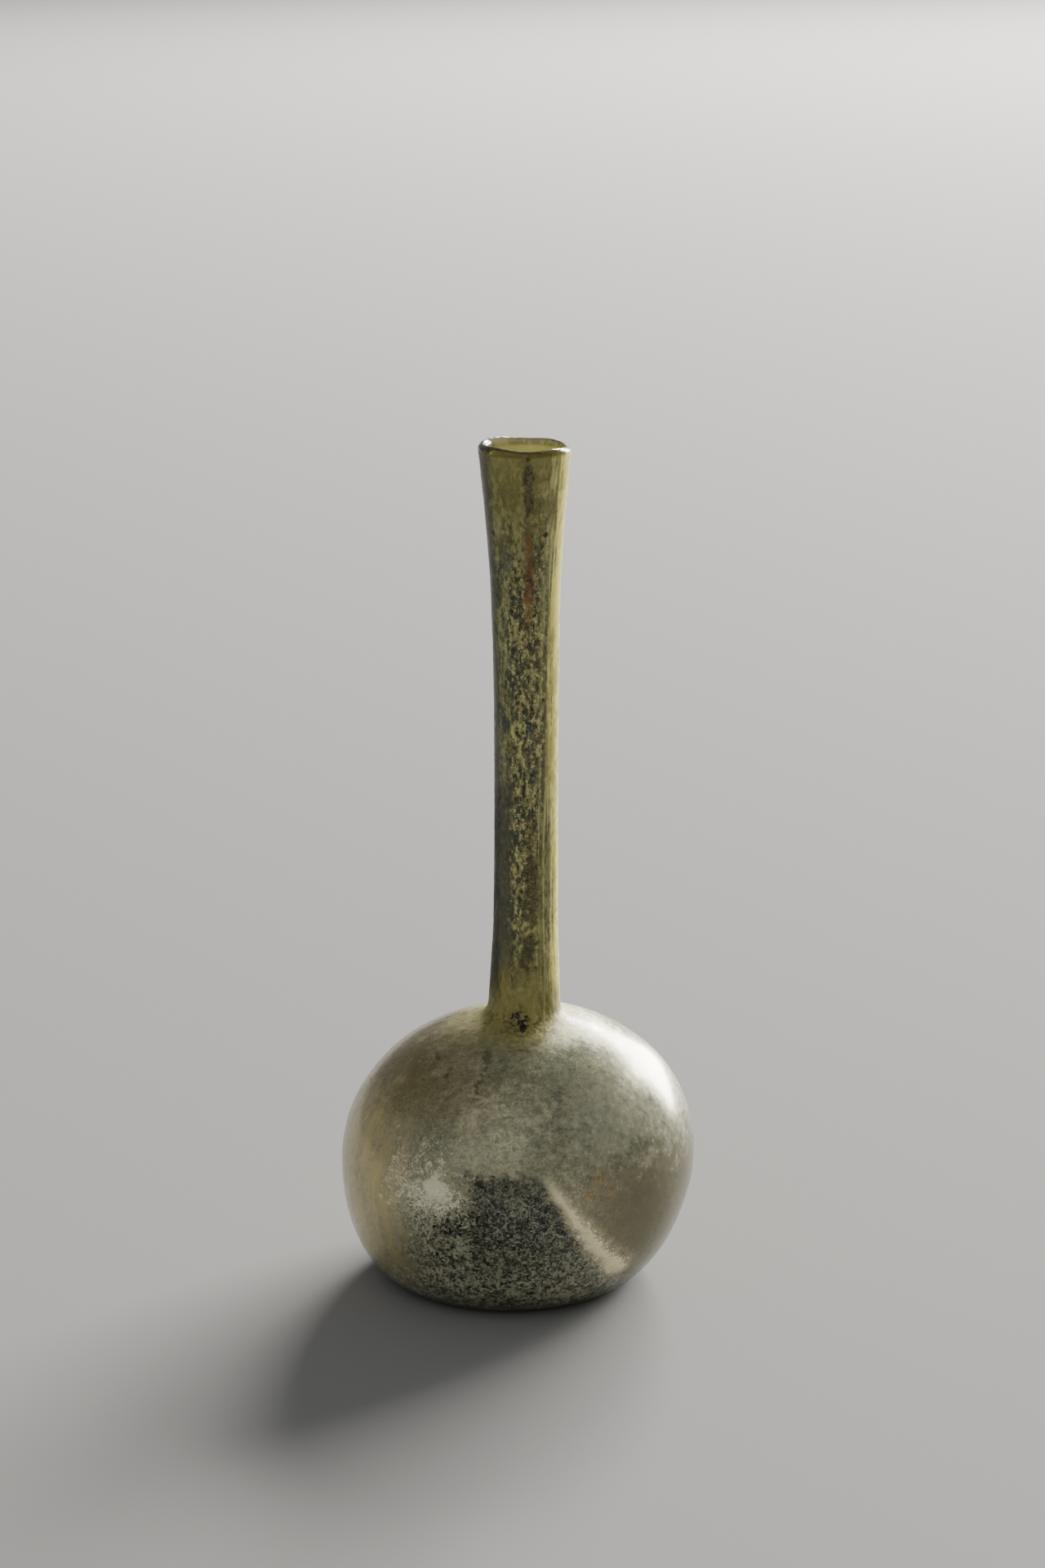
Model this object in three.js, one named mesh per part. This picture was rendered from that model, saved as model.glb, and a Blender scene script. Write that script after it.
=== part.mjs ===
// A free-blown glass ampulla: a squat globular body with a deep kick in its base, and a long slender
// neck that opens to a flared mouth with a rounded lip. The whole vessel is one piece of glass.
// Lengths are millimetres and +Z is up. The origin is on the surface that the vessel stands on,
// under the middle of its body, and the vessel leans a little towards +X, as hand-made glass does.
import * as THREE from "three";

// The body, from the ring that it stands on to the top of its shoulder.
const BODY_RADIUS = 52;
const BELLY_HEIGHT = 36.8;
const SHOULDER_RISE = 43.2;
const LOWER_FULLNESS = 1.8;
const UPPER_FULLNESS = 2.02;
const FOOT_RADIUS = 33;
const FOOT_WIDTH = 3.2;

// The kick is the dome that the glassblower pushed up into the base.
const KICK_HEIGHT = 25;
const KICK_BREADTH = 1.15;

// The neck, from its spread foot on the shoulder to the lip.
const TOTAL_HEIGHT = 246;
const NECK_RADIUS = 9.2;
const NECK_FOOT_SPREAD = 1.5;
const NECK_FOOT_LENGTH = 39;
const SHOULDER_FILLET = 3;
const MOUTH_RADIUS = 13.1;
const FLARE_LENGTH = 73;
const FLARE_CURVE = 2.2;
const FOOT_CURVE = 2.5;

// The glass is thickest in the base and the lip, and thinnest in the body.
const BASE_WALL = 2.4;
const BODY_WALL = 1.6;
const NECK_WALL = 2;
const LIP_THICKNESS = 2.8;
const LIP_SWELL_LENGTH = 12;
const SHOULDER_BLEND_LENGTH = 6;

// What the hand left in it: the lean of its middle line, an oval body and a wavy, tilted lip.
const LEAN_AT_FOOT = -2.1;
const LEAN_AT_SHOULDER = 1.8;
const LEAN_AT_MID_NECK = 2.5;
const LEAN_AT_MOUTH = 1.9;
const BODY_OVALNESS = 0.006;
const OVAL_ANGLE = 0.9;
const LIP_TILT = 0.033;
const LIP_WAVE = 0.25;
const LIP_WAVES = 4;
const LIP_WAVE_LENGTH = 20;

// How finely the solid is cut into flat faces.
const SIDES = 40;
const UNDERSIDE_STEPS = 9;
const LOWER_STEPS = 9;
const UPPER_STEPS = 9;
const FILLET_STEPS = 3;
const NECK_STEPS = 11;
const LIP_STEPS = 5;

const shoulderTop = BELLY_HEIGHT + SHOULDER_RISE;
const neckTop = TOTAL_HEIGHT - LIP_THICKNESS / 2;
const kickRadius = FOOT_RADIUS - FOOT_WIDTH;
const kickTop = KICK_HEIGHT + BASE_WALL;
const { clamp, smoothstep, lerp } = THREE.MathUtils;

// The same step repeated from 0 to 1, both ends included.
function shares(steps) {
  return Array.from({ length: steps + 1 }, (_, i) => i / steps);
}

// The underside of the kick, from the middle of the dome out to the ring that the vessel stands on.
function undersideOutline() {
  return shares(UNDERSIDE_STEPS).map((share) => {
    const height = (KICK_HEIGHT * (1 + Math.cos(Math.PI * share ** KICK_BREADTH))) / 2;
    return new THREE.Vector2(kickRadius * share, height);
  });
}

// The lower body swells from the standing ring to the belly, along a superellipse.
function lowerOutline() {
  return shares(LOWER_STEPS).map((share) => {
    const angle = (share * Math.PI) / 2;
    const out = Math.sin(angle) ** (2 / LOWER_FULLNESS);
    const up = 1 - Math.cos(angle) ** (2 / LOWER_FULLNESS);
    return new THREE.Vector2(lerp(FOOT_RADIUS, BODY_RADIUS, out), BELLY_HEIGHT * up);
  });
}

// A point of the shoulder's superellipse at an angle above the belly.
function shoulderPoint(angle) {
  const radius = BODY_RADIUS * Math.max(Math.cos(angle), 0) ** (2 / UPPER_FULLNESS);
  const rise = SHOULDER_RISE * Math.sin(angle) ** (2 / UPPER_FULLNESS);
  return new THREE.Vector2(radius, BELLY_HEIGHT + rise);
}

// The neck's outside radius at a height: a slim tube, spread at its foot and flared at its mouth.
function neckRadius(height) {
  const spread = clamp(1 - (height - shoulderTop) / NECK_FOOT_LENGTH, 0, 1);
  const flare = clamp(1 - (neckTop - height) / FLARE_LENGTH, 0, 1);
  const wider = NECK_FOOT_SPREAD * spread ** FOOT_CURVE;
  return NECK_RADIUS + wider + (MOUTH_RADIUS - NECK_RADIUS) * flare ** FLARE_CURVE;
}

// The shoulder from just above the belly to where the fillet begins, and the fillet up into the neck.
function upperOutline() {
  const joinRadius = neckRadius(shoulderTop) + SHOULDER_FILLET;
  const joinAngle = Math.acos((joinRadius / BODY_RADIUS) ** (UPPER_FULLNESS / 2));
  const shoulder = shares(UPPER_STEPS).slice(1).map((share) => shoulderPoint(share * joinAngle));
  const [before, join] = shoulder.slice(-2);
  const slope = (join.y - before.y) / (before.x - join.x);
  const cornerHeight = join.y + SHOULDER_FILLET * slope;
  const corner = new THREE.Vector2(neckRadius(cornerHeight), cornerHeight);
  const onNeck = cornerHeight + SHOULDER_FILLET;
  const fillet = new THREE.QuadraticBezierCurve(join, corner, new THREE.Vector2(neckRadius(onNeck), onNeck));
  return [...shoulder, ...fillet.getPoints(FILLET_STEPS).slice(1)];
}

// The neck from the top of the fillet to the start of the lip, with shorter steps where it flares.
function neckOutline(from) {
  return shares(NECK_STEPS).slice(1).map((share) => {
    const height = lerp(from, neckTop, Math.sin((share * Math.PI) / 2));
    return new THREE.Vector2(neckRadius(height), height);
  });
}

// The rounded lip, from the neck's outside over the top to its inside.
function lipOutline() {
  const centre = MOUTH_RADIUS - LIP_THICKNESS / 2;
  return shares(LIP_STEPS).slice(1, -1).map((share) => {
    const angle = share * Math.PI;
    return new THREE.Vector2(
      centre + (LIP_THICKNESS / 2) * Math.cos(angle),
      neckTop + (LIP_THICKNESS / 2) * Math.sin(angle),
    );
  });
}

// A copy of an outline moved into the vessel, square to itself, by the wall at each of its points.
function insideOf(outline, wallAt) {
  return outline.map((point, i) => {
    const before = outline[Math.max(i - 1, 0)];
    const after = outline[Math.min(i + 1, outline.length - 1)];
    const along = after.clone().sub(before).normalize();
    const inward = new THREE.Vector2(-along.y, along.x);
    return point.clone().addScaledVector(inward, wallAt(point));
  });
}

// The wall of the lower body thins from the base up to the belly.
function lowerWall(point) {
  return lerp(BASE_WALL, BODY_WALL, smoothstep(point.y, 0, BELLY_HEIGHT));
}

// The wall above the belly thickens into the neck, over the last stretch of the shoulder.
function upperWall(point) {
  const onShoulder = smoothstep(point.y, shoulderTop - SHOULDER_BLEND_LENGTH, shoulderTop);
  return lerp(BODY_WALL, NECK_WALL, onShoulder);
}

// The wall of the neck swells into the lip.
function neckWall(point) {
  return lerp(NECK_WALL, LIP_THICKNESS, smoothstep(point.y, neckTop - LIP_SWELL_LENGTH, neckTop));
}

// The closed half outline of the glass: up the outside from the axis, over the lip and down the inside.
function vesselOutline() {
  const underside = undersideOutline();
  const lower = lowerOutline();
  const upper = upperOutline();
  const neck = neckOutline(upper.at(-1).y);
  const insideKick = insideOf(underside, () => BASE_WALL);
  insideKick[0].set(0, kickTop);
  const insideLower = insideOf(lower, lowerWall);
  const insideUpper = insideOf([lower.at(-1), ...upper, neck[0]], upperWall).slice(1, -1);
  const insideNeck = neck.map((point) => new THREE.Vector2(point.x - neckWall(point), point.y));
  const outside = [...underside, ...lower, ...upper, ...neck];
  const inside = [...insideKick, ...insideLower, ...insideUpper, ...insideNeck];
  return [...outside, ...lipOutline(), ...inside.reverse()];
}

// The shift of the middle line along X at a height, smooth through the measured places.
const leanLine = new THREE.CubicInterpolant(
  [0, BELLY_HEIGHT, shoulderTop, (shoulderTop + TOTAL_HEIGHT) / 2, TOTAL_HEIGHT],
  [LEAN_AT_FOOT, 0, LEAN_AT_SHOULDER, LEAN_AT_MID_NECK, LEAN_AT_MOUTH],
  1,
  new Float32Array(1),
);

// Turns the true lathe form into the hand-made one: the oval body, the uneven lip and the lean.
function handMade(geometry) {
  const position = geometry.attributes.position;
  for (let i = 0; i < position.count; i += 1) {
    const [x, y, z] = [position.getX(i), position.getY(i), position.getZ(i)];
    const angle = Math.atan2(y, x);
    const onKick = Math.hypot(x, y) < kickRadius && z < kickTop + BASE_WALL;
    const lean = onKick ? LEAN_AT_FOOT : leanLine.evaluate(z)[0];
    const onBody = 1 - smoothstep(z, BELLY_HEIGHT, shoulderTop);
    const oval = 1 + BODY_OVALNESS * onBody * Math.cos(2 * (angle - OVAL_ANGLE));
    const onLip = smoothstep(z, neckTop - LIP_WAVE_LENGTH, neckTop);
    const wave = -LIP_WAVE * Math.cos(LIP_WAVES * angle) - LIP_TILT * x;
    position.setXYZ(i, x * oval + lean, y * oval, z + wave * onLip);
  }
  return geometry;
}

function vesselGeometry() {
  const turned = new THREE.LatheGeometry(vesselOutline(), SIDES);
  turned.rotateX(Math.PI / 2);
  return handMade(turned);
}

const weatheredGlass = new THREE.MeshStandardMaterial({
  color: 0xb4b391,
  roughness: 0.35,
  metalness: 0,
  transparent: true,
  opacity: 0.7,
  side: THREE.DoubleSide,
});

const ampulla = new THREE.Mesh(vesselGeometry(), weatheredGlass);
ampulla.name = "ampulla";

const model = new THREE.Group();
model.add(ampulla);

export default model;
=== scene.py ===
# %% [markdown]
# # A blown glass ampulla
# The real vessel is one bubble of glass. Its maker blew a squat globe, drew the neck out long, pushed the
# base up into a kick with a tool, and rounded the lip in the fire. Burial then laid a silvery film over it.
# This lesson takes the vessel's solid as a fixed frame, lays a smooth skin over it, and paints the skin
# with shader maths. Every length in Blender is in metres, so small sizes are written in millimetres and
# multiplied by MM.

# %% Load the frame
import math

import bpy
import numpy as np
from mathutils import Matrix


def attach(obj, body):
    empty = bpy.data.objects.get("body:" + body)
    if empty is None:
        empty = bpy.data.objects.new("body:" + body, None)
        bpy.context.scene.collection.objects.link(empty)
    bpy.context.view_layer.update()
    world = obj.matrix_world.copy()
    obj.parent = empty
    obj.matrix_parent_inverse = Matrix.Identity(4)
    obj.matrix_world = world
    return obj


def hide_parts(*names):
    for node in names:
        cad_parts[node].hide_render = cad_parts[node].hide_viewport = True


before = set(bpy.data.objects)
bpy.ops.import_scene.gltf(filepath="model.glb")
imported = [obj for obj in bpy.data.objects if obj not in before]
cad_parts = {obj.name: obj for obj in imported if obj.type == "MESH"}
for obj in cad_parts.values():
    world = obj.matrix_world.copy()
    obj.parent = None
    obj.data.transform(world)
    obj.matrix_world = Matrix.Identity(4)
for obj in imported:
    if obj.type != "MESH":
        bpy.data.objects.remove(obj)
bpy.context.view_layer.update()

MM = 0.001

# %% [markdown]
# ## The camera
# The photograph looks down on the vessel at a gentle slant, from about a metre away. A camera is a place,
# a slant and a lens. They could be guessed by eye, but these three were found by matching the vessel's
# outline in the picture, so that the foot, the belly and the lip all fall where they do there.

# %% Camera
CAMERA_PLACE = (1.4 * MM, -1000 * MM, 418.5 * MM)
CAMERA_SLANT = math.radians(15.15)
LENS = 83.27

bpy.ops.object.camera_add(location=CAMERA_PLACE, rotation=(math.pi / 2 - CAMERA_SLANT, 0, 0))
camera = bpy.context.object
camera.data.lens = LENS
bpy.context.scene.camera = camera
print("camera looks down by", round(math.degrees(CAMERA_SLANT), 2), "degrees")

# %% [markdown]
# ## The floor
# Glass shows what lies behind it, so the floor matters more here than under an opaque thing. A wide pale
# sheet is enough. It is a plane with a plain rough paint, and it isn't part of the vessel.

# %% Floor
FLOOR_SIZE = 24
FLOOR_COLOUR = (0.28, 0.28, 0.2744, 1)
FLOOR_ROUGHNESS = 0.9

bpy.ops.object.select_all(action="DESELECT")
bpy.ops.mesh.primitive_plane_add(size=FLOOR_SIZE)
floor = bpy.context.object
floor.name = "floor"
floor_paint = bpy.data.materials.new("pale_floor")
floor_paint.use_nodes = True
floor_shader = floor_paint.node_tree.nodes["Principled BSDF"]
floor_shader.inputs["Base Color"].default_value = FLOOR_COLOUR
floor_shader.inputs["Roughness"].default_value = FLOOR_ROUGHNESS
floor.data.materials.append(floor_paint)
print("floor is", FLOOR_SIZE, "m wide")

# %% [markdown]
# ## The light
# In the photograph the light comes from behind and from the right, low enough to run along the right side
# of the neck and to spread one soft highlight on the right shoulder. A large soft box stands there, and a
# small one, higher and more straight behind, adds the glint beside the neck's foot. A wide one in front and
# an even grey world open the shadows without a highlight of their own. The two boxes behind could stand
# close and be small. They stand far off and are large, which looks the same on the glass and lights the
# floor evenly.

# %% Lights
MIDDLE = np.array((0, 0, 0.09))
WARM = (1, 0.97, 0.92)
WHITE = (1, 1, 1)


def soft_box(name, place, width, height, power, colour):
    """Adds a flat light at a place in metres, turned to shine at the middle of the vessel."""
    bpy.ops.object.light_add(type="AREA", location=place)
    box = bpy.context.object
    box.name = name
    box.data.shape = "RECTANGLE"
    box.data.size = width
    box.data.size_y = height
    box.data.energy = power
    box.data.color = colour
    ahead = MIDDLE - np.array(place)
    flat = math.hypot(ahead[0], ahead[1])
    box.rotation_euler = (math.atan2(flat, -ahead[2]), 0, math.atan2(-ahead[0], ahead[1]))
    print(name, "is", round(float(np.linalg.norm(ahead)), 2), "m away")


soft_box("key_light", (4.6, 6.4, 2.4), width=4.4, height=4.4, power=2280, colour=WARM)
soft_box("shoulder_light", (1.45, 6.4, 3.05), width=1.6, height=1.1, power=580, colour=WARM)
soft_box("front_light", (-0.8, -2.2, 2.2), width=3.2, height=3.2, power=13, colour=WHITE)

# %% World
WORLD_COLOUR = (0.26, 0.26, 0.26, 1)

world = bpy.data.worlds.new("studio")
world.use_nodes = True
world.node_tree.nodes["Background"].inputs["Color"].default_value = WORLD_COLOUR
bpy.context.scene.world = world
print("world is", world.name)

# %% [markdown]
# ## The skin of the vessel
# The solid has flat facets, and blown glass has none. The skin could be turned anew from an outline, but a
# copy of the solid is sure to keep its true form. The copy is merged into one closed mesh, its triangles
# are joined in pairs, and its long upright edges are halved until all the faces are about the same size.
# Subdivision then rounds them. The solid itself stays as it is, hidden under its new skin.

# %% Copy and merge the solid
MERGE_DISTANCE = 0.01 * MM
PAIR_ANGLE = math.radians(60)

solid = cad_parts["ampulla"]
vessel = bpy.data.objects.new("ampulla_glass", solid.data.copy())
bpy.context.scene.collection.objects.link(vessel)
bpy.ops.object.select_all(action="DESELECT")
vessel.select_set(True)
bpy.context.view_layer.objects.active = vessel

bpy.ops.object.mode_set(mode="EDIT")
bpy.ops.mesh.select_all(action="SELECT")
bpy.ops.mesh.remove_doubles(threshold=MERGE_DISTANCE)
bpy.ops.mesh.tris_convert_to_quads(face_threshold=PAIR_ANGLE, shape_threshold=PAIR_ANGLE)
bpy.ops.object.mode_set(mode="OBJECT")
corners = [len(face.vertices) for face in vessel.data.polygons]
print("faces", len(corners), "of which triangles", corners.count(3))

# %% Halve the long upright edges
LONGEST_EDGE = 6.6 * MM


def vertex_rows(piece, kind="co"):
    """One row of x, y and z for each vertex: its place, or its normal where the kind is "normal"."""
    rows = np.empty(len(piece.data.vertices) * 3)
    piece.data.vertices.foreach_get(kind, rows)
    return rows.reshape(-1, 3)


def select_long_edges(piece, longest):
    """Selects the edges that run up or down by more than a length, and counts them."""
    heights = vertex_rows(piece)[:, 2]
    ends = np.array([edge.vertices[:] for edge in piece.data.edges])
    too_long = np.abs(heights[ends[:, 0]] - heights[ends[:, 1]]) > longest
    for edge, chosen in zip(piece.data.edges, too_long):
        edge.select = bool(chosen)
    return int(too_long.sum())


bpy.ops.object.mode_set(mode="EDIT")
bpy.ops.mesh.select_mode(type="EDGE")
bpy.ops.mesh.select_all(action="DESELECT")
bpy.ops.object.mode_set(mode="OBJECT")
while select_long_edges(vessel, LONGEST_EDGE):
    bpy.ops.object.mode_set(mode="EDIT")
    bpy.ops.mesh.subdivide(number_cuts=1)
    bpy.ops.mesh.select_all(action="DESELECT")
    bpy.ops.object.mode_set(mode="OBJECT")
corners = [len(face.vertices) for face in vessel.data.polygons]
print("faces", len(corners), "of which not quads", len(corners) - corners.count(4))

# %% Round the faces
ROUNDING = 2


def apply_modifier(piece, kind, **settings):
    """Adds a modifier with its settings and applies it at once."""
    modifier = piece.modifiers.new(kind.lower(), kind)
    for name, value in settings.items():
        setattr(modifier, name, value)
    bpy.ops.object.modifier_apply(modifier=modifier.name)


apply_modifier(vessel, "SUBSURF", levels=ROUNDING, render_levels=ROUNDING)
print("skin has", len(vessel.data.polygons), "faces")

# %% [markdown]
# ## What the hand left in the glass
# Blown glass is never true. The globe is gently uneven, and the neck carries fine lines where it was drawn
# out. Sculpting could give both, but a Displace modifier with a soft cloud texture does it evenly, by tenths
# of a millimetre. For the drawn lines the clouds are read through an empty that is stretched along the neck,
# which pulls them into threads. Weights keep the foot flat, and keep the threads on the neck.

# %% Weights
FOOT_RISE = (1, 12)
SHOULDER_TOP = (75, 95)
NECK_START = (80, 100)
NECK_CALM = 0.65
WEIGHT_STEPS = 50


def smooth_steps(values, low, high):
    """0 below low, 1 above high, and an even curve between."""
    share = np.clip((values - low) / (high - low), 0, 1)
    return share * share * (3 - 2 * share)


def add_weights(piece, name, weights):
    """Adds a vertex group that holds one weight for each vertex."""
    group = piece.vertex_groups.new(name=name)
    steps = np.round(weights * WEIGHT_STEPS).astype(int)
    for step in np.unique(steps):
        group.add(np.flatnonzero(steps == step).tolist(), step / WEIGHT_STEPS, "REPLACE")
    print(name, "weights on", int((steps > 0).sum()), "vertices")


heights = vertex_rows(vessel)[:, 2] / MM
calm_neck = 1 - NECK_CALM * smooth_steps(heights, *SHOULDER_TOP)
add_weights(vessel, "off_the_floor", smooth_steps(heights, *FOOT_RISE) * calm_neck)
add_weights(vessel, "neck", smooth_steps(heights, *NECK_START))


# %% Uneven globe
WALL_LUMPS = 28 * MM
WALL_SWING = 0.9 * MM


def displace(piece, name, lumps, group, swing, **reading):
    """Moves a skin in and out by soft clouds, as far as the weights of a vertex group let it."""
    before = vertex_rows(piece)
    clouds = bpy.data.textures.new(name, "CLOUDS")
    clouds.noise_scale = lumps
    clouds.noise_depth = 1
    apply_modifier(piece, "DISPLACE", texture=clouds, vertex_group=group, strength=swing, mid_level=0.5,
                   **reading)
    moved = np.linalg.norm(vertex_rows(piece) - before, axis=1).max()
    print(name, "moves the skin by up to", round(float(moved) / MM, 2), "mm")


displace(vessel, "uneven_wall", WALL_LUMPS, "off_the_floor", WALL_SWING, texture_coords="LOCAL")

# %% Drawn neck
THREAD_WIDTH = 1.8 * MM
THREAD_SWING = 0.16 * MM
THREAD_STRETCH = 40

bpy.ops.object.empty_add(scale=(1, 1, THREAD_STRETCH))
stretcher = bpy.context.object
bpy.context.view_layer.objects.active = vessel
displace(vessel, "drawn_lines", THREAD_WIDTH, "neck", THREAD_SWING, texture_coords="OBJECT",
         texture_coords_object=stretcher)
bpy.data.objects.remove(stretcher)
bpy.ops.object.select_all(action="DESELECT")
vessel.select_set(True)
bpy.ops.object.shade_smooth()

# %% [markdown]
# ## Telling the inside from the outside
# The film is on the outside, and the inside is cleaner. Two pieces could carry two paints, but the glass is
# one, so both sides are one skin with one paint, and each vertex notes which side it is on. A vertex is
# inside if its normal points at the middle line of the hollow.

# %% Mark the inside
HOLLOW_BOTTOM = 45 * MM
SIDE_BLEND = (-0.3, 0.3)

places = vertex_rows(vessel)
middle_line = np.zeros_like(places)
middle_line[:, 2] = np.maximum(places[:, 2], HOLLOW_BOTTOM)
to_middle = middle_line - places
inward = (to_middle * vertex_rows(vessel, "normal")).sum(1) / np.linalg.norm(to_middle, axis=1)
side = vessel.data.attributes.new("inside", "FLOAT", "POINT")
side.data.foreach_set("value", smooth_steps(inward, *SIDE_BLEND).astype(np.float32))
print("inside vertices", int((inward > 0).sum()), "of", len(places))

# %% [markdown]
# ## A small language for paints
# A shader is sums on numbers that change over the surface. Its nodes could be set out by hand, but this
# paint has hundreds of them, and as Python expressions they stay short: Amount wraps one socket, and each
# + - * / on it adds one Math node. Recipe makes every node, Math nodes too, in one way.


# %% Amounts
class Amount:
    """A number that changes over the surface."""

    def __init__(self, recipe, socket):
        self.recipe = recipe
        self.socket = socket

    def math(self, operation, *others, flip=False):
        values = [self, *others]
        if flip:
            values.reverse()
        return self.recipe.amount("ShaderNodeMath", {"operation": operation}, dict(enumerate(values)))

    def __add__(self, other):
        return self.math("ADD", other)

    __radd__ = __add__

    def __sub__(self, other):
        return self.math("SUBTRACT", other)

    def __rsub__(self, other):
        return self.math("SUBTRACT", other, flip=True)

    def __mul__(self, other):
        return self.math("MULTIPLY", other)

    __rmul__ = __mul__

    def __truediv__(self, other):
        return self.math("DIVIDE", other)

    def __rtruediv__(self, other):
        return self.math("DIVIDE", other, flip=True)

    def most(self, other):
        return self.math("MAXIMUM", other)

    def least(self, other):
        return self.math("MINIMUM", other)

    def unsigned(self):
        return self.math("ABSOLUTE")

    def swing(self, reach):
        """A noise's swing to either side of its middle, half a reach each way at the very most."""
        return (self - 0.5) * reach

    def thin_lines(self, edge, core):
        """1 along the thin curled lines where a noise crosses its middle, and 0 beside them."""
        return (self - 0.5).unsigned().ramp(edge, core)

    def ramp(self, low, high):
        """0 at low and 1 at high, and the other way round where low is above high."""
        return self.recipe.amount("ShaderNodeMapRange", {"interpolation_type": "SMOOTHSTEP"}, {
            "Value": self, "From Min": low, "From Max": high}, out="Result")


# %% Recipes
class Recipe:
    """Makes the nodes of one material."""

    def __init__(self, name):
        self.material = bpy.data.materials.new(name)
        self.material.use_nodes = True
        self.tree = self.material.node_tree
        self.tree.nodes.clear()

    def node(self, kind, settings, sockets, out=0):
        """Adds a node of a kind, sets it, fills its sockets with values or links, and gives an output."""
        node = self.tree.nodes.new(kind)
        for name, value in settings.items():
            setattr(node, name, value)
        for name, value in sockets.items():
            if isinstance(value, Amount):
                value = value.socket
            if isinstance(value, bpy.types.NodeSocket):
                self.tree.links.new(value, node.inputs[name])
            else:
                node.inputs[name].default_value = value
        return node.outputs[out] if node.outputs else node

    def amount(self, kind, settings, sockets, out=0):
        return Amount(self, self.node(kind, settings, sockets, out))

    def noise(self, vector, size, detail=2, roughness=0.5, distortion=0):
        """Soft noise from 0 to 1, whose lumps are about a size across, in the vector's own units."""
        return self.amount("ShaderNodeTexNoise", {}, {
            "Vector": vector, "Scale": 1 / size, "Detail": detail,
            "Roughness": roughness, "Distortion": distortion}, out="Fac")

    def stretched(self, vector, scale):
        """The same place, with its axes pulled, so that a pattern on it runs in streaks."""
        return self.node("ShaderNodeVectorMath", {"operation": "MULTIPLY"}, {0: vector, 1: scale})

    def mix(self, share, first, second):
        """From the first colour to the second one, as the share goes from 0 to 1."""
        return self.node("ShaderNodeMix", {"data_type": "RGBA"}, {0: share, 6: first, 7: second}, out=2)

    def layers(self, colour, *layers):
        """Lays colours over a colour, each by its own share, the last one on top."""
        for share, layer in layers:
            colour = self.mix(share, colour, layer)
        return colour

    def tell(self, step):
        print("with", step, "the paint has", len(self.tree.nodes), "nodes")


# %% [markdown]
# ## Places on the glass
# A paint has to know where it is. An unwrapped map could tell it, but the object's own coordinates have no
# seams, and here they are turned into millimetres. The noises are the grain of the film, from clouds as
# wide as a thumb down to dust. Where axes are pulled, a noise runs in streaks, as along the drawn neck.

# %% Coordinates
FRONT = (3, -3)

glass = Recipe("weathered_glass")
place = glass.node("ShaderNodeVectorMath", {"operation": "SCALE"}, {
    0: glass.node("ShaderNodeTexCoord", {}, {}, out="Object"), "Scale": 1 / MM})
axes = glass.node("ShaderNodeSeparateXYZ", {}, {0: place}).node
x, y, z = (Amount(glass, socket) for socket in axes.outputs)
inside = glass.amount("ShaderNodeAttribute", {"attribute_name": "inside"}, {}, out="Fac")
outside = 1 - inside
front = y.ramp(*FRONT) * outside
glass.tell("its coordinates")

# %% Noises that the films share
cloud = glass.noise(place, 24, detail=2)
patches = glass.noise(place, 7, detail=4, roughness=0.6)
dimples = glass.noise(place, 3.2, detail=1)
worms = glass.noise(place, 2.6, detail=1, distortion=1.6)
mottle = glass.noise(place, 2.2, detail=4, roughness=0.65)
weave = glass.noise(place, 1.1, detail=2, roughness=0.6, distortion=0.5)
speckle = glass.noise(place, 1.0, detail=2, roughness=0.6)
grain = glass.noise(place, 0.5, detail=2)
glass.tell("the even noises")

# %% Noises that run in streaks
flakes = glass.noise(glass.stretched(place, (1, 1, 0.4)), 3.0, detail=4, roughness=0.7)
meridians = glass.noise(glass.stretched(place, (1, 1, 0.12)), 2.6, detail=2)
dashes = glass.noise(glass.stretched(place, (0.45, 0.45, 1)), 1.3, detail=3, roughness=0.65)
crumbs = glass.noise(glass.stretched(place, (1, 1, 0.5)), 1.15, detail=3, roughness=0.75)
threads = glass.noise(glass.stretched(place, (1, 1, 0.02)), 0.9, detail=2, roughness=0.6)
glass.tell("the streaked noises")

# %% Mixed grains
curls = worms.thin_lines(0.07, 0.02)
fine_curls = weave.thin_lines(0.06, 0.015)
flecks = speckle * 0.4 + mottle * 0.4 + patches * 0.2
wobble = patches.swing(4) + mottle.swing(4)
glass.tell("the mixed grains")

# %% [markdown]
# ## Marks and their edges
# The marks of the front were read off the photograph as x and height in millimetres, and a mark only shows
# where y is negative, which is the front. They could be drawn on an image, but marks from numbers stay sharp
# at any distance. Nothing that grew there is a neat disc, so a wobble breaks up each edge.

# %% Edges, spots and lines
SPOT_EDGE = (1.4, 0.3)


def border(amount, limits, ragged):
    """0 before the first limit and 1 past the second one, with an edge that is ragged by a size."""
    return (amount + wobble * ragged).ramp(*limits)


def spot(at_x, at_z, wide, tall, ragged=0.5):
    """A mark on the front, from 1 at its middle to 0 at its ragged edge."""
    across = (x - at_x) / wide
    along = (z - at_z) / tall
    return border(across * across + along * along, SPOT_EDGE, ragged) * front


def line(start, end):
    """How far a place lies beside a line, and how far along it, in millimetres."""
    run = math.dist(start, end)
    step_x = (end[0] - start[0]) / run
    step_z = (end[1] - start[1]) / run
    right_x = x - start[0]
    up_z = z - start[1]
    return right_x * -step_z + up_z * step_x, right_x * step_x + up_z * step_z
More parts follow.
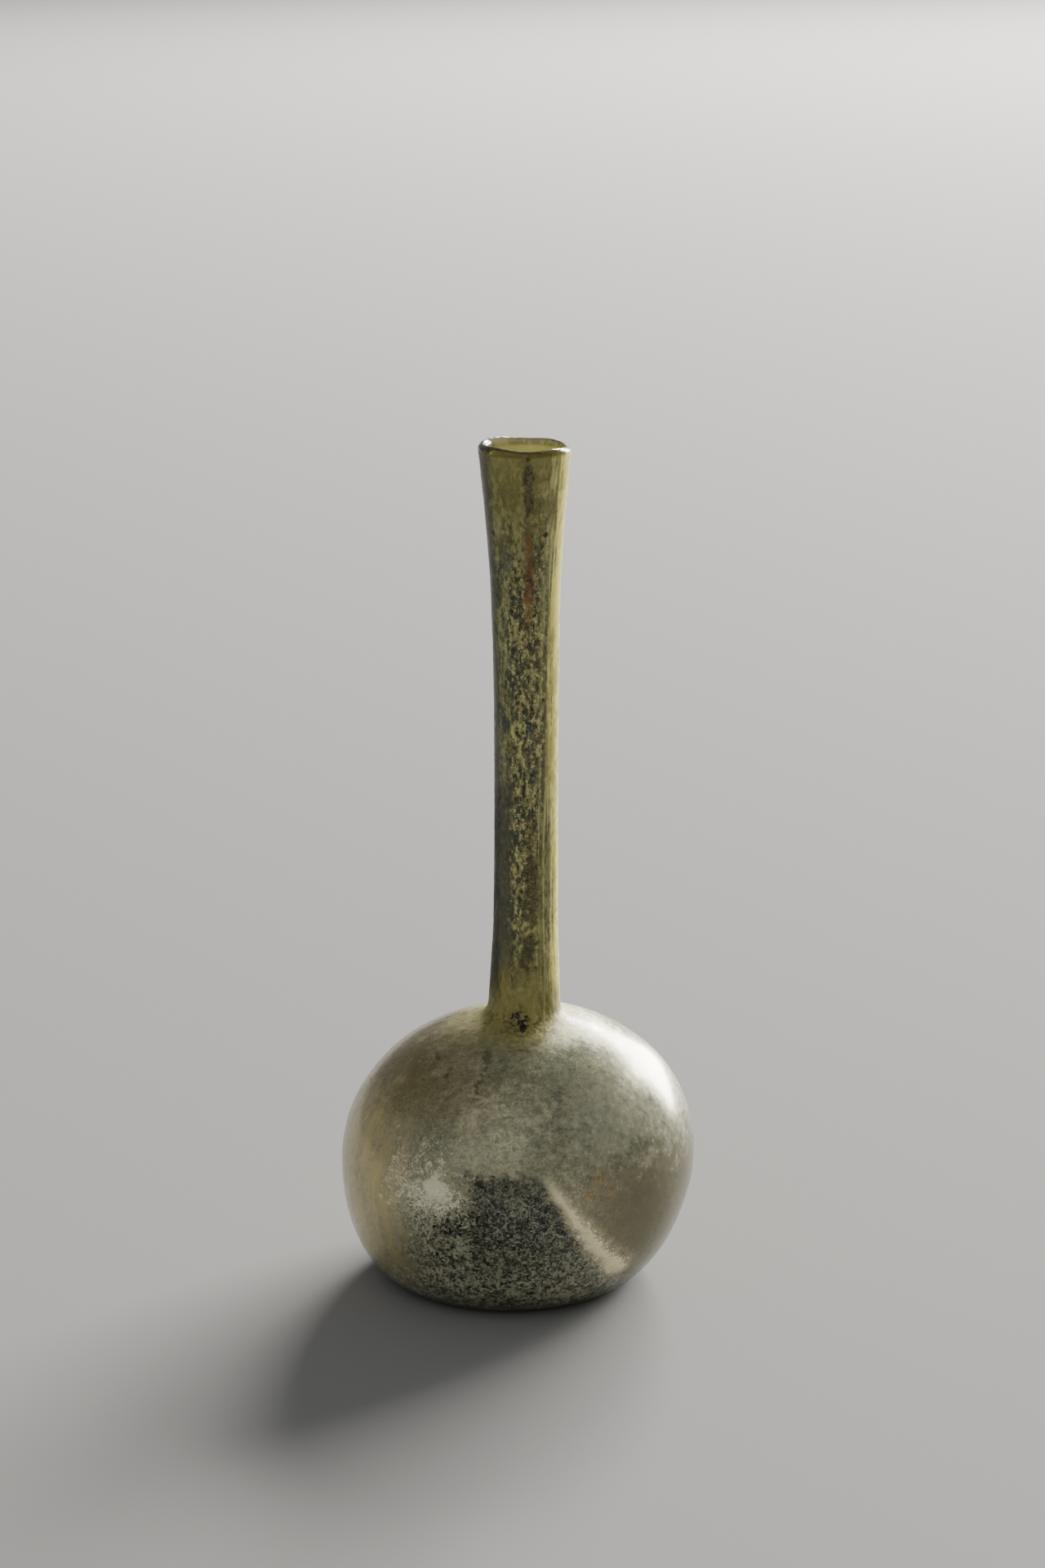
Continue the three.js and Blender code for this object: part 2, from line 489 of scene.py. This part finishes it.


# %% [markdown]
# ## Zones
# The film isn't the same all over. The neck's foot is smooth and olive, and that zone runs out onto the
# shoulder. Low on the front the film is worn, and the kick shows through it as a dark dome with a bright
# streak down its right slope. The dome's dark is painted shade, the shade under the kick, and the streak is
# a painted highlight, the glint of the light along the kick's slope. The globe is painted darker towards the
# bottom. Real glass shows its kick by refraction, which a film this dense would hide here, so the dome and
# the streak are painted where the photograph has them. Each pair of limits says where a zone begins to show
# and where it is whole.

# %% Zones of the body
STREAK_TOP = (8, 47)
STREAK_FOOT = (29.5, 13)
NECK_FOOT = (73, 80)
WORN_TOP = (47, 34)
WORN_LEFT = (-37, -22)
WORN_RIGHT = (2, -3)
WORN_BACK = (25, -15)
DOME_TOP = (48, 45.5)
DOME_LEFT = (-14.5, -11.5)
DOME_RIGHT = (0, -3)
DOME_FOOT = (12, 28)
DARKER_FOOT_TOP = (12, 2)

on_neck = border(z, NECK_FOOT, 1.2)
streak_side, streak_run = line(STREAK_TOP, STREAK_FOOT)
low_front = border(z, WORN_TOP, 5) * border(x, WORN_LEFT, 5) * border(streak_side, WORN_RIGHT, 1.5)
worn = low_front * y.ramp(*WORN_BACK) * outside
dome = border(z, DOME_TOP, 1.2) * border(x, DOME_LEFT, 1.2) * border(streak_side, DOME_RIGHT, 0.8)
dome = dome * border(z, DOME_FOOT, 6) * front
# The globe is painted darker towards the bottom.
darker_foot = border(z, DARKER_FOOT_TOP, 2.5) * outside
glass.tell("the zones of the body")

# %% The streak, a painted highlight
STREAK_START = (-3, 4)
STREAK_STOP = (43, 38)
STREAK_REACH = (2.4, 0)
CORE_REACH = (1, 0.2)
CORE_START = (-14, 20)
WIDENING = 0.06

# Painted highlight: the glint of the light down the kick's right slope, a soft spread and bright spots.
streak_ends = streak_run.ramp(*STREAK_START) * streak_run.ramp(*STREAK_STOP) * front
streak_width = streak_run.most(0) * WIDENING + 1
off_streak = (streak_side + patches.swing(2)).unsigned() / streak_width
glow = (off_streak + mottle.swing(2)).ramp(*STREAK_REACH) * streak_ends
core = (off_streak + mottle.swing(3) + speckle.swing(4)).ramp(*CORE_REACH) * streak_run.ramp(*CORE_START)
glints = (core * streak_ends + spot(27.6, 16, 2.8, 3, ragged=0.6)).least(1)
glass.tell("the streak")

# %% The pale patch and the dark mark beside it
patch = spot(-23.5, 41.5, 6, 7, ragged=0.9)
patch_heart = spot(-23, 42.5, 3.2, 4.2, ragged=0.6)
halo = spot(-25, 41, 11, 11, ragged=1.6)
dark_left = spot(-19.5, 31.5, 6, 3, ragged=1.2)
glass.tell("the marks of the low front")

# %% [markdown]
# ## How much of the glass is covered
# The film's cover is one number from 0, bare glass, to 1, a full crust. On the globe it is nearly whole.
# Where it is worn it stands in curled crumbs on bare glass. On the neck a mottled crust lies between bare
# patches, and the lip is nearly bare. The inside carries a thin haze, and a thicker film up in the mouth.
# The film could be a second mesh over the glass, but it is thinner than a hair, so one number on one skin
# is enough.

# %% Cover
LIP = (243.4, 245)
MOUTH = (222, 238)

lip = z.ramp(*LIP)
whole_cover = 0.96 + cloud.swing(0.2) + mottle.swing(0.3)
worn_cover = 0.55 + flecks.ramp(0.44, 0.55) * 0.4 + fine_curls * 0.2
globe_cover = whole_cover * (1 - worn) + worn_cover * worn + patch * 0.6 + glow * 0.5
bare_patch = (flakes * 0.7 + crumbs * 0.3 + cloud.swing(0.3)).ramp(0.5, 0.44)
neck_cover = 0.97 - bare_patch * 0.35 + crumbs.swing(0.4)
outside_cover = globe_cover * (1 - on_neck) + neck_cover * on_neck
inside_cover = 0.15 + z.ramp(*MOUTH) * 0.6
cover = (outside_cover * outside + inside_cover * inside) * (1 - lip * 0.7)
cover = cover.least(1).most(0)
glass.tell("the cover")

# %% [markdown]
# ## Colours of the globe
# The glass itself is olive-yellow where the neck is thick and nearly colourless in the thin globe. The crust
# is silvery grey-green on the globe. A golden beige towards its left is a painted reflection, a brown-grey
# low on the right is painted shade, and a paler silver on the upper right is the painted spread of the
# highlight. Each colour is laid over the ones before it, as a painter glazes, by a share that says where and
# how strongly.


# %% Colours of the glass and the crust
def rgb(red, green, blue):
    """A colour picked on a screen, from 0 to 255, as the linear numbers that a shader needs."""
    return tuple((value / 255) ** 2.2 for value in (red, green, blue)) + (1,)


OLIVE_GLASS = rgb(206, 198, 138)
SMOKY_GLASS = rgb(196, 196, 178)
SILVER_DARK = rgb(118, 120, 98)
SILVER_PALE = rgb(176, 172, 138)
SILVER_DEEP = rgb(74, 78, 62)
SAGE = rgb(128, 138, 116)
FILM_CREAM = rgb(214, 206, 162)
# The next three are painted light: silver for the highlight's spread, gold for a reflection, beige for
# shade.
PAINTED_HIGHLIGHT_SILVER = rgb(192, 192, 164)
PAINTED_SHEEN_GOLD = rgb(200, 184, 128)
PAINTED_SHADE_BEIGE = rgb(114, 107, 79)
UMBER_OLIVE = rgb(108, 96, 36)

glass_colour = glass.mix(on_neck, SMOKY_GLASS, OLIVE_GLASS)
glass.tell("the colour of the glass")

# %% Grain of the globe's crust
tone = 0.5 + patches.swing(0.7) + mottle.swing(0.8) + speckle.swing(0.6) + dashes.swing(0.6)
sage_clouds = border(cloud, (0.48, 0.6), 0.04)
film_lines = fine_curls * mottle.ramp(0.5, 0.62) * 0.3 + curls * (0.25 + patches.ramp(0.46, 0.6) * 0.4)
dark_dashes = (dashes * 0.5 + grain * 0.3 + patches * 0.2).ramp(0.44, 0.39)
globe_colour = glass.layers(
    glass.mix(tone.ramp(0.1, 0.9), SILVER_DARK, SILVER_PALE),
    (sage_clouds * 0.45, SAGE),
    (film_lines, FILM_CREAM),
    (dark_dashes * 0.4, SILVER_DEEP))
glass.tell("the grain of the globe")

# %% Broad tones of the globe's crust, three of them painted light
SHEEN_RIGHT = (-24, -43)
SHEEN_TOP = (72, 58)
SHADE_LEFT = (12, 36)
SHADE_TOP = (60, 36)
PALE_LEFT = (4, 24)
PALE_FOOT = (42, 58)
PALE_TOP = (74, 62)
UMBER_RIGHT = (4, -18)
UMBER_HEART = (-16, -32)
UMBER_FOOT = (50, 70)

# Painted reflection: a golden sheen down the globe's left, streaked along the meridians.
painted_left_sheen = border(x, SHEEN_RIGHT, 6) * border(z, SHEEN_TOP, 6)
painted_left_sheen = (painted_left_sheen * (0.7 + meridians.swing(2))).least(1).most(0)
# Painted shade: the right of the globe is darker, most of all low down.
painted_right_shade = border(x, SHADE_LEFT, 6) * (0.1 + border(z, SHADE_TOP, 6) * 0.8) * (1 - darker_foot)
# Painted highlight: a paler silver on the upper right, the soft spread of the shoulder's highlight.
painted_highlight_spread = border(x, PALE_LEFT, 6) * border(z, PALE_FOOT, 5) * border(z, PALE_TOP, 4)
umber_left = border(x, UMBER_RIGHT, 6) * 0.5 + border(x, UMBER_HEART, 6) * 0.5
umber = border(z, UMBER_FOOT, 5) * umber_left
globe_colour = glass.layers(
    globe_colour,
    (painted_left_sheen, PAINTED_SHEEN_GOLD),
    (painted_right_shade, PAINTED_SHADE_BEIGE),
    (painted_highlight_spread * (0.65 + mottle.swing(2)).least(1), PAINTED_HIGHLIGHT_SILVER),
    (umber * (1 - fine_curls * 0.3), UMBER_OLIVE))
glass.tell("the tones of the globe")

# %% Worn low front, with the painted shade of the dome and the darker foot
# The darkest colour serves both as the worn film's dark ground and as the painted shade of the dome.
WORN_DARK_AND_SHADE = rgb(24, 29, 33)
WORN_PALE = rgb(193, 193, 163)
# A grey that darkens the globe towards the bottom.
DARKER_FOOT_GREY = rgb(92, 93, 74)
DOME_SHADOW = (-5, -11)

pale_crumbs = flecks.ramp(0.46, 0.54)
worn_colour = glass.mix((pale_crumbs * 0.5 + fine_curls * 0.5 + curls * 0.4).least(1), WORN_DARK_AND_SHADE, WORN_PALE)
# The dome is painted shade: the dark under the kick seen through the worn wall, deepest towards its left.
dome_shade_edge = border(x, DOME_SHADOW, 1) * 0.2 + spot(5.5, 33, 3.5, 10, ragged=1) * 0.2
dome_shade_edge = dome_shade_edge + (patches + mottle).ramp(0.96, 0.8) * 0.15
painted_dome_shade = dome * (1 - pale_crumbs * 0.25) * (1 - fine_curls * 0.6) * (0.8 + dome_shade_edge)
globe_colour = glass.layers(
    globe_colour,
    (worn * 0.9, worn_colour),
    (painted_dome_shade, WORN_DARK_AND_SHADE),
    (dark_left * (1 - fine_curls * 0.5), WORN_DARK_AND_SHADE),
    (darker_foot * 0.85, DARKER_FOOT_GREY))
glass.tell("the worn front")

# %% Bright marks of the low front: the pale patch and the streak's painted highlight
CREAM = rgb(255, 250, 214)
# The streak's two colours are a painted highlight.
PAINTED_GLOW_BEIGE = rgb(240, 226, 184)
PAINTED_GLINT_GOLD = rgb(255, 246, 200)

halo_lines = (halo * (curls * 0.7 + fine_curls * 0.4)).least(1)
patch_share = patch * (0.3 + curls * 0.5 + fine_curls * 0.4) + patch_heart * 0.5
globe_colour = glass.layers(
    globe_colour,
    (halo_lines * 0.8, CREAM),
    (patch_share.least(1), CREAM),
    (glow * (0.5 + speckle.swing(2)), PAINTED_GLOW_BEIGE),
    (glints, PAINTED_GLINT_GOLD))
glass.tell("the bright marks")

# %% [markdown]
# ## Colours of the neck
# The neck's crust is a mottle of cream, olive and slate between two bands of painted light. On the left lie
# painted shade at the edge and a grey painted reflection beside it, and on the right a pale yellow painted
# highlight where the light runs down the glass. The bands follow the neck as it flares, so a place is
# measured from the neck's own middle line and by its own width. Low down, the mottle is narrower and the
# pale band is wider.

# %% Measures on the neck
NECK_AXIS = 2.2
FLARE_START = 170
FLARE_LENGTH = 75
FLARE_WIDENING = 0.42
LOW_NECK = (165, 130)

flare = ((z - FLARE_START) / FLARE_LENGTH).most(0).least(1)
aside = (x - NECK_AXIS) / (1 + flare * flare * FLARE_WIDENING)
low_neck = border(z, LOW_NECK, 8)
glass.tell("the measures on the neck")

# %% Where the neck is mottled
MOTTLE_LEFT = (-5.5, -3)
MOTTLE_RIGHT = (6, 4.4)
MOTTLE_FOOT = (94, 114)
MOTTLE_TOP = (222, 204)

across_middle = border(aside, MOTTLE_LEFT, 1) * border(aside + low_neck * 1.7, MOTTLE_RIGHT, 1)
mid_neck = border(z, MOTTLE_FOOT, 8) * border(z, MOTTLE_TOP, 8)
speckled = 0.3 + across_middle * mid_neck * 0.7
glass.tell("the place of the mottle")

# %% Mottle of the neck's crust
NECK_OLIVE = rgb(94, 99, 63)
NECK_CREAM = rgb(148, 149, 100)
NECK_SLATE = rgb(72, 84, 80)
NECK_DEEP = rgb(40, 46, 33)
NECK_PALE = rgb(212, 208, 140)
NECK_PEACH = rgb(190, 158, 104)
SLATE_FOOT = (108, 150)
LOW_PALE = (150, 120)

neck_tone = crumbs * 0.5 + speckle * 0.2 + grain * 0.1 + mottle * 0.2
neck_tone = neck_tone + border(z, LOW_PALE, 8) * 0.008 + 0.008
slate = (flakes * 0.55 + crumbs * 0.45).ramp(0.5, 0.45) * border(z, SLATE_FOOT, 10)
slate_marks = spot(-2.7, 214, 2, 4) + spot(-0.5, 183, 2.4, 9)
slate_marks = slate_marks + spot(4.4, 160, 2.4, 12) + spot(0.5, 136, 1.8, 7)
peach = (weave * 0.6 + crumbs * 0.4).ramp(0.55, 0.59) * speckled
neck_colour = glass.layers(
    glass.mix((crumbs * 0.4 + flakes * 0.6).ramp(0.38, 0.62), NECK_OLIVE, NECK_CREAM),
    ((slate * mid_neck * 0.7 + slate_marks * 0.6).least(0.9), NECK_SLATE),
    (neck_tone.ramp(0.49, 0.44) * speckled, NECK_DEEP),
    (neck_tone.ramp(0.53, 0.57) * speckled * 0.9, NECK_PALE),
    (peach * 0.6, NECK_PEACH))
glass.tell("the mottle of the neck")

# %% Painted reflection band, foot and top of the neck
# The grey is a painted reflection, laid in a band down the neck's left.
PAINTED_REFLECTION_GREY = rgb(76, 76, 70)
FOOT_OLIVE = rgb(156, 146, 80)
TOP_OLIVE = rgb(142, 136, 72)
REFLECTION_RIGHT = (-1.4, -4.6)
REFLECTION_FOOT = (88, 98)
REFLECTION_TOP = (166, 140)
OLIVE_FOOT = (104, 84)
OLIVE_TOP = (218, 232)

# Painted reflection: a grey band down the neck's left, beside the painted shade of its edge.
left_reflection_band = border(aside + crumbs.swing(9), REFLECTION_RIGHT, 1) * border(z, REFLECTION_FOOT, 5) * border(z, REFLECTION_TOP, 8)
neck_colour = glass.layers(
    neck_colour,
    (left_reflection_band * 0.75, PAINTED_REFLECTION_GREY),
    (border(z, OLIVE_FOOT, 5) * 0.7, FOOT_OLIVE),
    (border(z, OLIVE_TOP, 4) * 0.5, TOP_OLIVE))
glass.tell("the ashen band")

# %% Threads and edges of the neck, with painted shade on the left and a painted highlight on the right
# The next two are painted light: a dark for shade down the neck's left edge, a yellow for a highlight on its
# right.
PAINTED_NECK_SHADE = rgb(38, 40, 25)
PAINTED_NECK_HIGHLIGHT = rgb(246, 237, 124)
MOUTH_YELLOW = rgb(228, 226, 148)
# The lip's dark crest is painted shade, for the dark line that the thick rim shows by refraction.
PAINTED_RIM_SHADE = rgb(44, 38, 24)
THIRD_LEFT = (3, 6)
DARK_EDGE = (-6.6, -8.2)
DARK_EDGE_FOOT = (82, 90)
LIGHT_EDGE = (6.6, 8)
LIGHT_EDGE_FOOT = (84, 92)
UPPER_NECK = (140, 170)

# In the right third the drawn threads are real, and their pale share is painted light on the lit side.
thread_and_light_third = border(aside + low_neck * 1.4, THIRD_LEFT, 1)
# Painted shade down the neck's left edge.
painted_shade_edge = border(aside, DARK_EDGE, 0.5) * border(z, DARK_EDGE_FOOT, 2)
upper_neck = border(z, UPPER_NECK, 10)
# Painted highlight down the neck's right edge, wider and stronger higher up.
painted_highlight_edge = border(aside + upper_neck * 0.3 + threads.swing(4), LIGHT_EDGE, 0.3)
painted_highlight_edge = painted_highlight_edge * border(z, LIGHT_EDGE_FOOT, 3) * (0.75 + upper_neck * 0.2)
neck_colour = glass.layers(
    neck_colour,
    (thread_and_light_third * threads.ramp(0.4, 0.6) * 0.7, NECK_PALE),
    (thread_and_light_third * threads.thin_lines(0.05, 0) * 0.7, NECK_OLIVE),
    ((painted_shade_edge * (0.5 + crumbs * 0.6)).least(1), PAINTED_NECK_SHADE),
    (painted_highlight_edge, PAINTED_NECK_HIGHLIGHT),
    (inside, MOUTH_YELLOW),
    (lip * 0.9, PAINTED_RIM_SHADE))
crust_colour = glass.mix(on_neck, globe_colour, neck_colour)
glass.tell("the whole crust")

# %% [markdown]
# ## Stains
# The stains are crumbs of brown and black inside a mark: a plum streak under the lip, a rusty one below it,
# a dark brown one low on the neck, a black cluster at its foot, a brown crack and dots on the left shoulder,
# and faint amber spots on the right of the globe. They could be flakes of mesh, but they stand no higher
# than the film, so they are colour on top of the crust, and they also cover bare glass.

# %% Stains of the neck
crumbled = (crumbs * 0.6 + speckle * 0.4).ramp(0.47, 0.53)
rust = spot(3.2, 211, 1.6, 16) * (0.3 + crumbled * 0.7)
rust = rust + spot(3.4, 134, 1.4, 9, ragged=0.8) * crumbled * 0.6
plum = spot(3, 236.5, 1.7, 9, ragged=0.6) * (0.35 + crumbled * 0.65)
brown = spot(4, 118, 1.9, 14, ragged=0.8) + spot(3.2, 100, 2.6, 5, ragged=1.2)
brown = brown.least(1) * (crumbs * 0.5 + speckle * 0.5).ramp(0.46, 0.51)
pits = (spot(7.8, 222, 0.8, 0.9, ragged=0.3) + spot(-6.8, 222, 0.7, 0.8, ragged=0.3)).least(1)
glass.tell("the stains of the neck")

# %% Stains of the shoulder and the globe
CRACK_TOP = (-8, 75)
CRACK_FOOT = (-13, 64)

black = spot(0.9, 80.3, 3.1, 2.6, ragged=0.8) * (mottle * 0.4 + speckle * 0.6).ramp(0.5, 0.53)
black = (black + spot(1.6, 78.9, 1.2, 0.8, ragged=0.8)).least(1)
crack_side, crack_run = line(CRACK_TOP, CRACK_FOOT)
crack_ends = crack_run.ramp(-1, 1) * crack_run.ramp(13, 9)
crack = border(crack_side * crack_side, (0.7, 0.1), 1.2) * crack_ends * front
dots = spot(-23, 72, 0.8, 0.6) + spot(-20, 69, 0.7, 0.6) + spot(-27, 67, 0.6, 0.5)
dots = (dots + spot(-13.6, 47.5, 1.4, 1.2, ragged=0.8) * 0.7).least(1)
amber = spot(23, 46, 2, 3, ragged=1.4) + spot(21.5, 40.5, 2.4, 1.6, ragged=1.4)
amber = (amber + spot(27, 41, 1.4, 2, ragged=1.2)).least(1) * flecks.ramp(0.44, 0.56)
glass.tell("the stains of the globe")

# %% Lay the stains on the crust
RUST = rgb(116, 62, 24)
PLUM = rgb(44, 34, 36)
BROWN = rgb(52, 36, 20)
BLACK = rgb(20, 18, 14)
AMBER = rgb(196, 148, 44)

crust_colour = glass.layers(
    crust_colour,
    (amber * 0.6, AMBER),
    (rust.least(1) * 0.85, RUST),
    (plum * 0.9, PLUM),
    ((brown * 0.85 + crack * 0.5 + dots * 0.6 + pits).least(1) * 0.9, BROWN),
    (black * 0.95, BLACK))
cover = cover.most((rust + plum + brown + black + pits + crack * 0.5).least(1) * 0.95)
glass.tell("the stains laid on")

# %% [markdown]
# ## Two shaders, one skin
# The bare glass bends light and lets it through, and its roughness is the fine etching left by burial. The
# crust is opaque, with the satin gloss of weathered glass: a little metallic, under a thin coat. One shader
# could fade its transmission instead, but here two are mixed by the cover, which is what the real film does:
# it lets the glass show or hides it. A fine relief roughens both, all but the lip, which the fire polished.

# %% Relief and finish
BUMP_STRENGTH = 0.3
BUMP_HEIGHT = 0.3 * MM

film_relief = dimples.swing(0.5) + mottle.swing(0.3) + (curls + fine_curls) * 0.03
neck_relief = (threads.swing(0.5) + crumbs.swing(0.3)) * on_neck
bumps = glass.node("ShaderNodeBump", {}, {
    "Height": (film_relief + neck_relief) * (1 - lip), "Strength": BUMP_STRENGTH, "Distance": BUMP_HEIGHT})
silk = (1 - on_neck) * outside * (1 - worn * 0.8) * (1 - darker_foot)
etching = (0.18 + patches * 0.1) * (1 - inside * 0.5) * (1 - lip * 0.8)
crust_metal = silk * (0.4 + glints * 0.5) + on_neck * outside * 0.25
crust_roughness = 0.24 + mottle.swing(0.25) + on_neck * (0.1 + low_neck * 0.26)
glass.tell("its relief and finish")

# %% Shaders
IOR = 1.5
COAT_ROUGHNESS = 0.12

bare = glass.node("ShaderNodeBsdfPrincipled", {}, {
    "Base Color": glass_colour, "Roughness": etching, "Normal": bumps,
    "IOR": IOR, "Transmission Weight": 1.0})
crust = glass.node("ShaderNodeBsdfPrincipled", {}, {
    "Base Color": crust_colour, "Metallic": crust_metal, "Roughness": crust_roughness, "Normal": bumps,
    "IOR": IOR, "Coat Weight": silk * 0.25, "Coat Roughness": COAT_ROUGHNESS})
skin = glass.node("ShaderNodeMixShader", {}, {0: cover, 1: bare, 2: crust})
glass.node("ShaderNodeOutputMaterial", {}, {"Surface": skin})
glass.tell("both shaders")

vessel.data.materials.clear()
vessel.data.materials.append(glass.material)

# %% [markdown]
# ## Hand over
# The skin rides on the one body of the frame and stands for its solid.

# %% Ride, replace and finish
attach(vessel, "root")
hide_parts("ampulla")
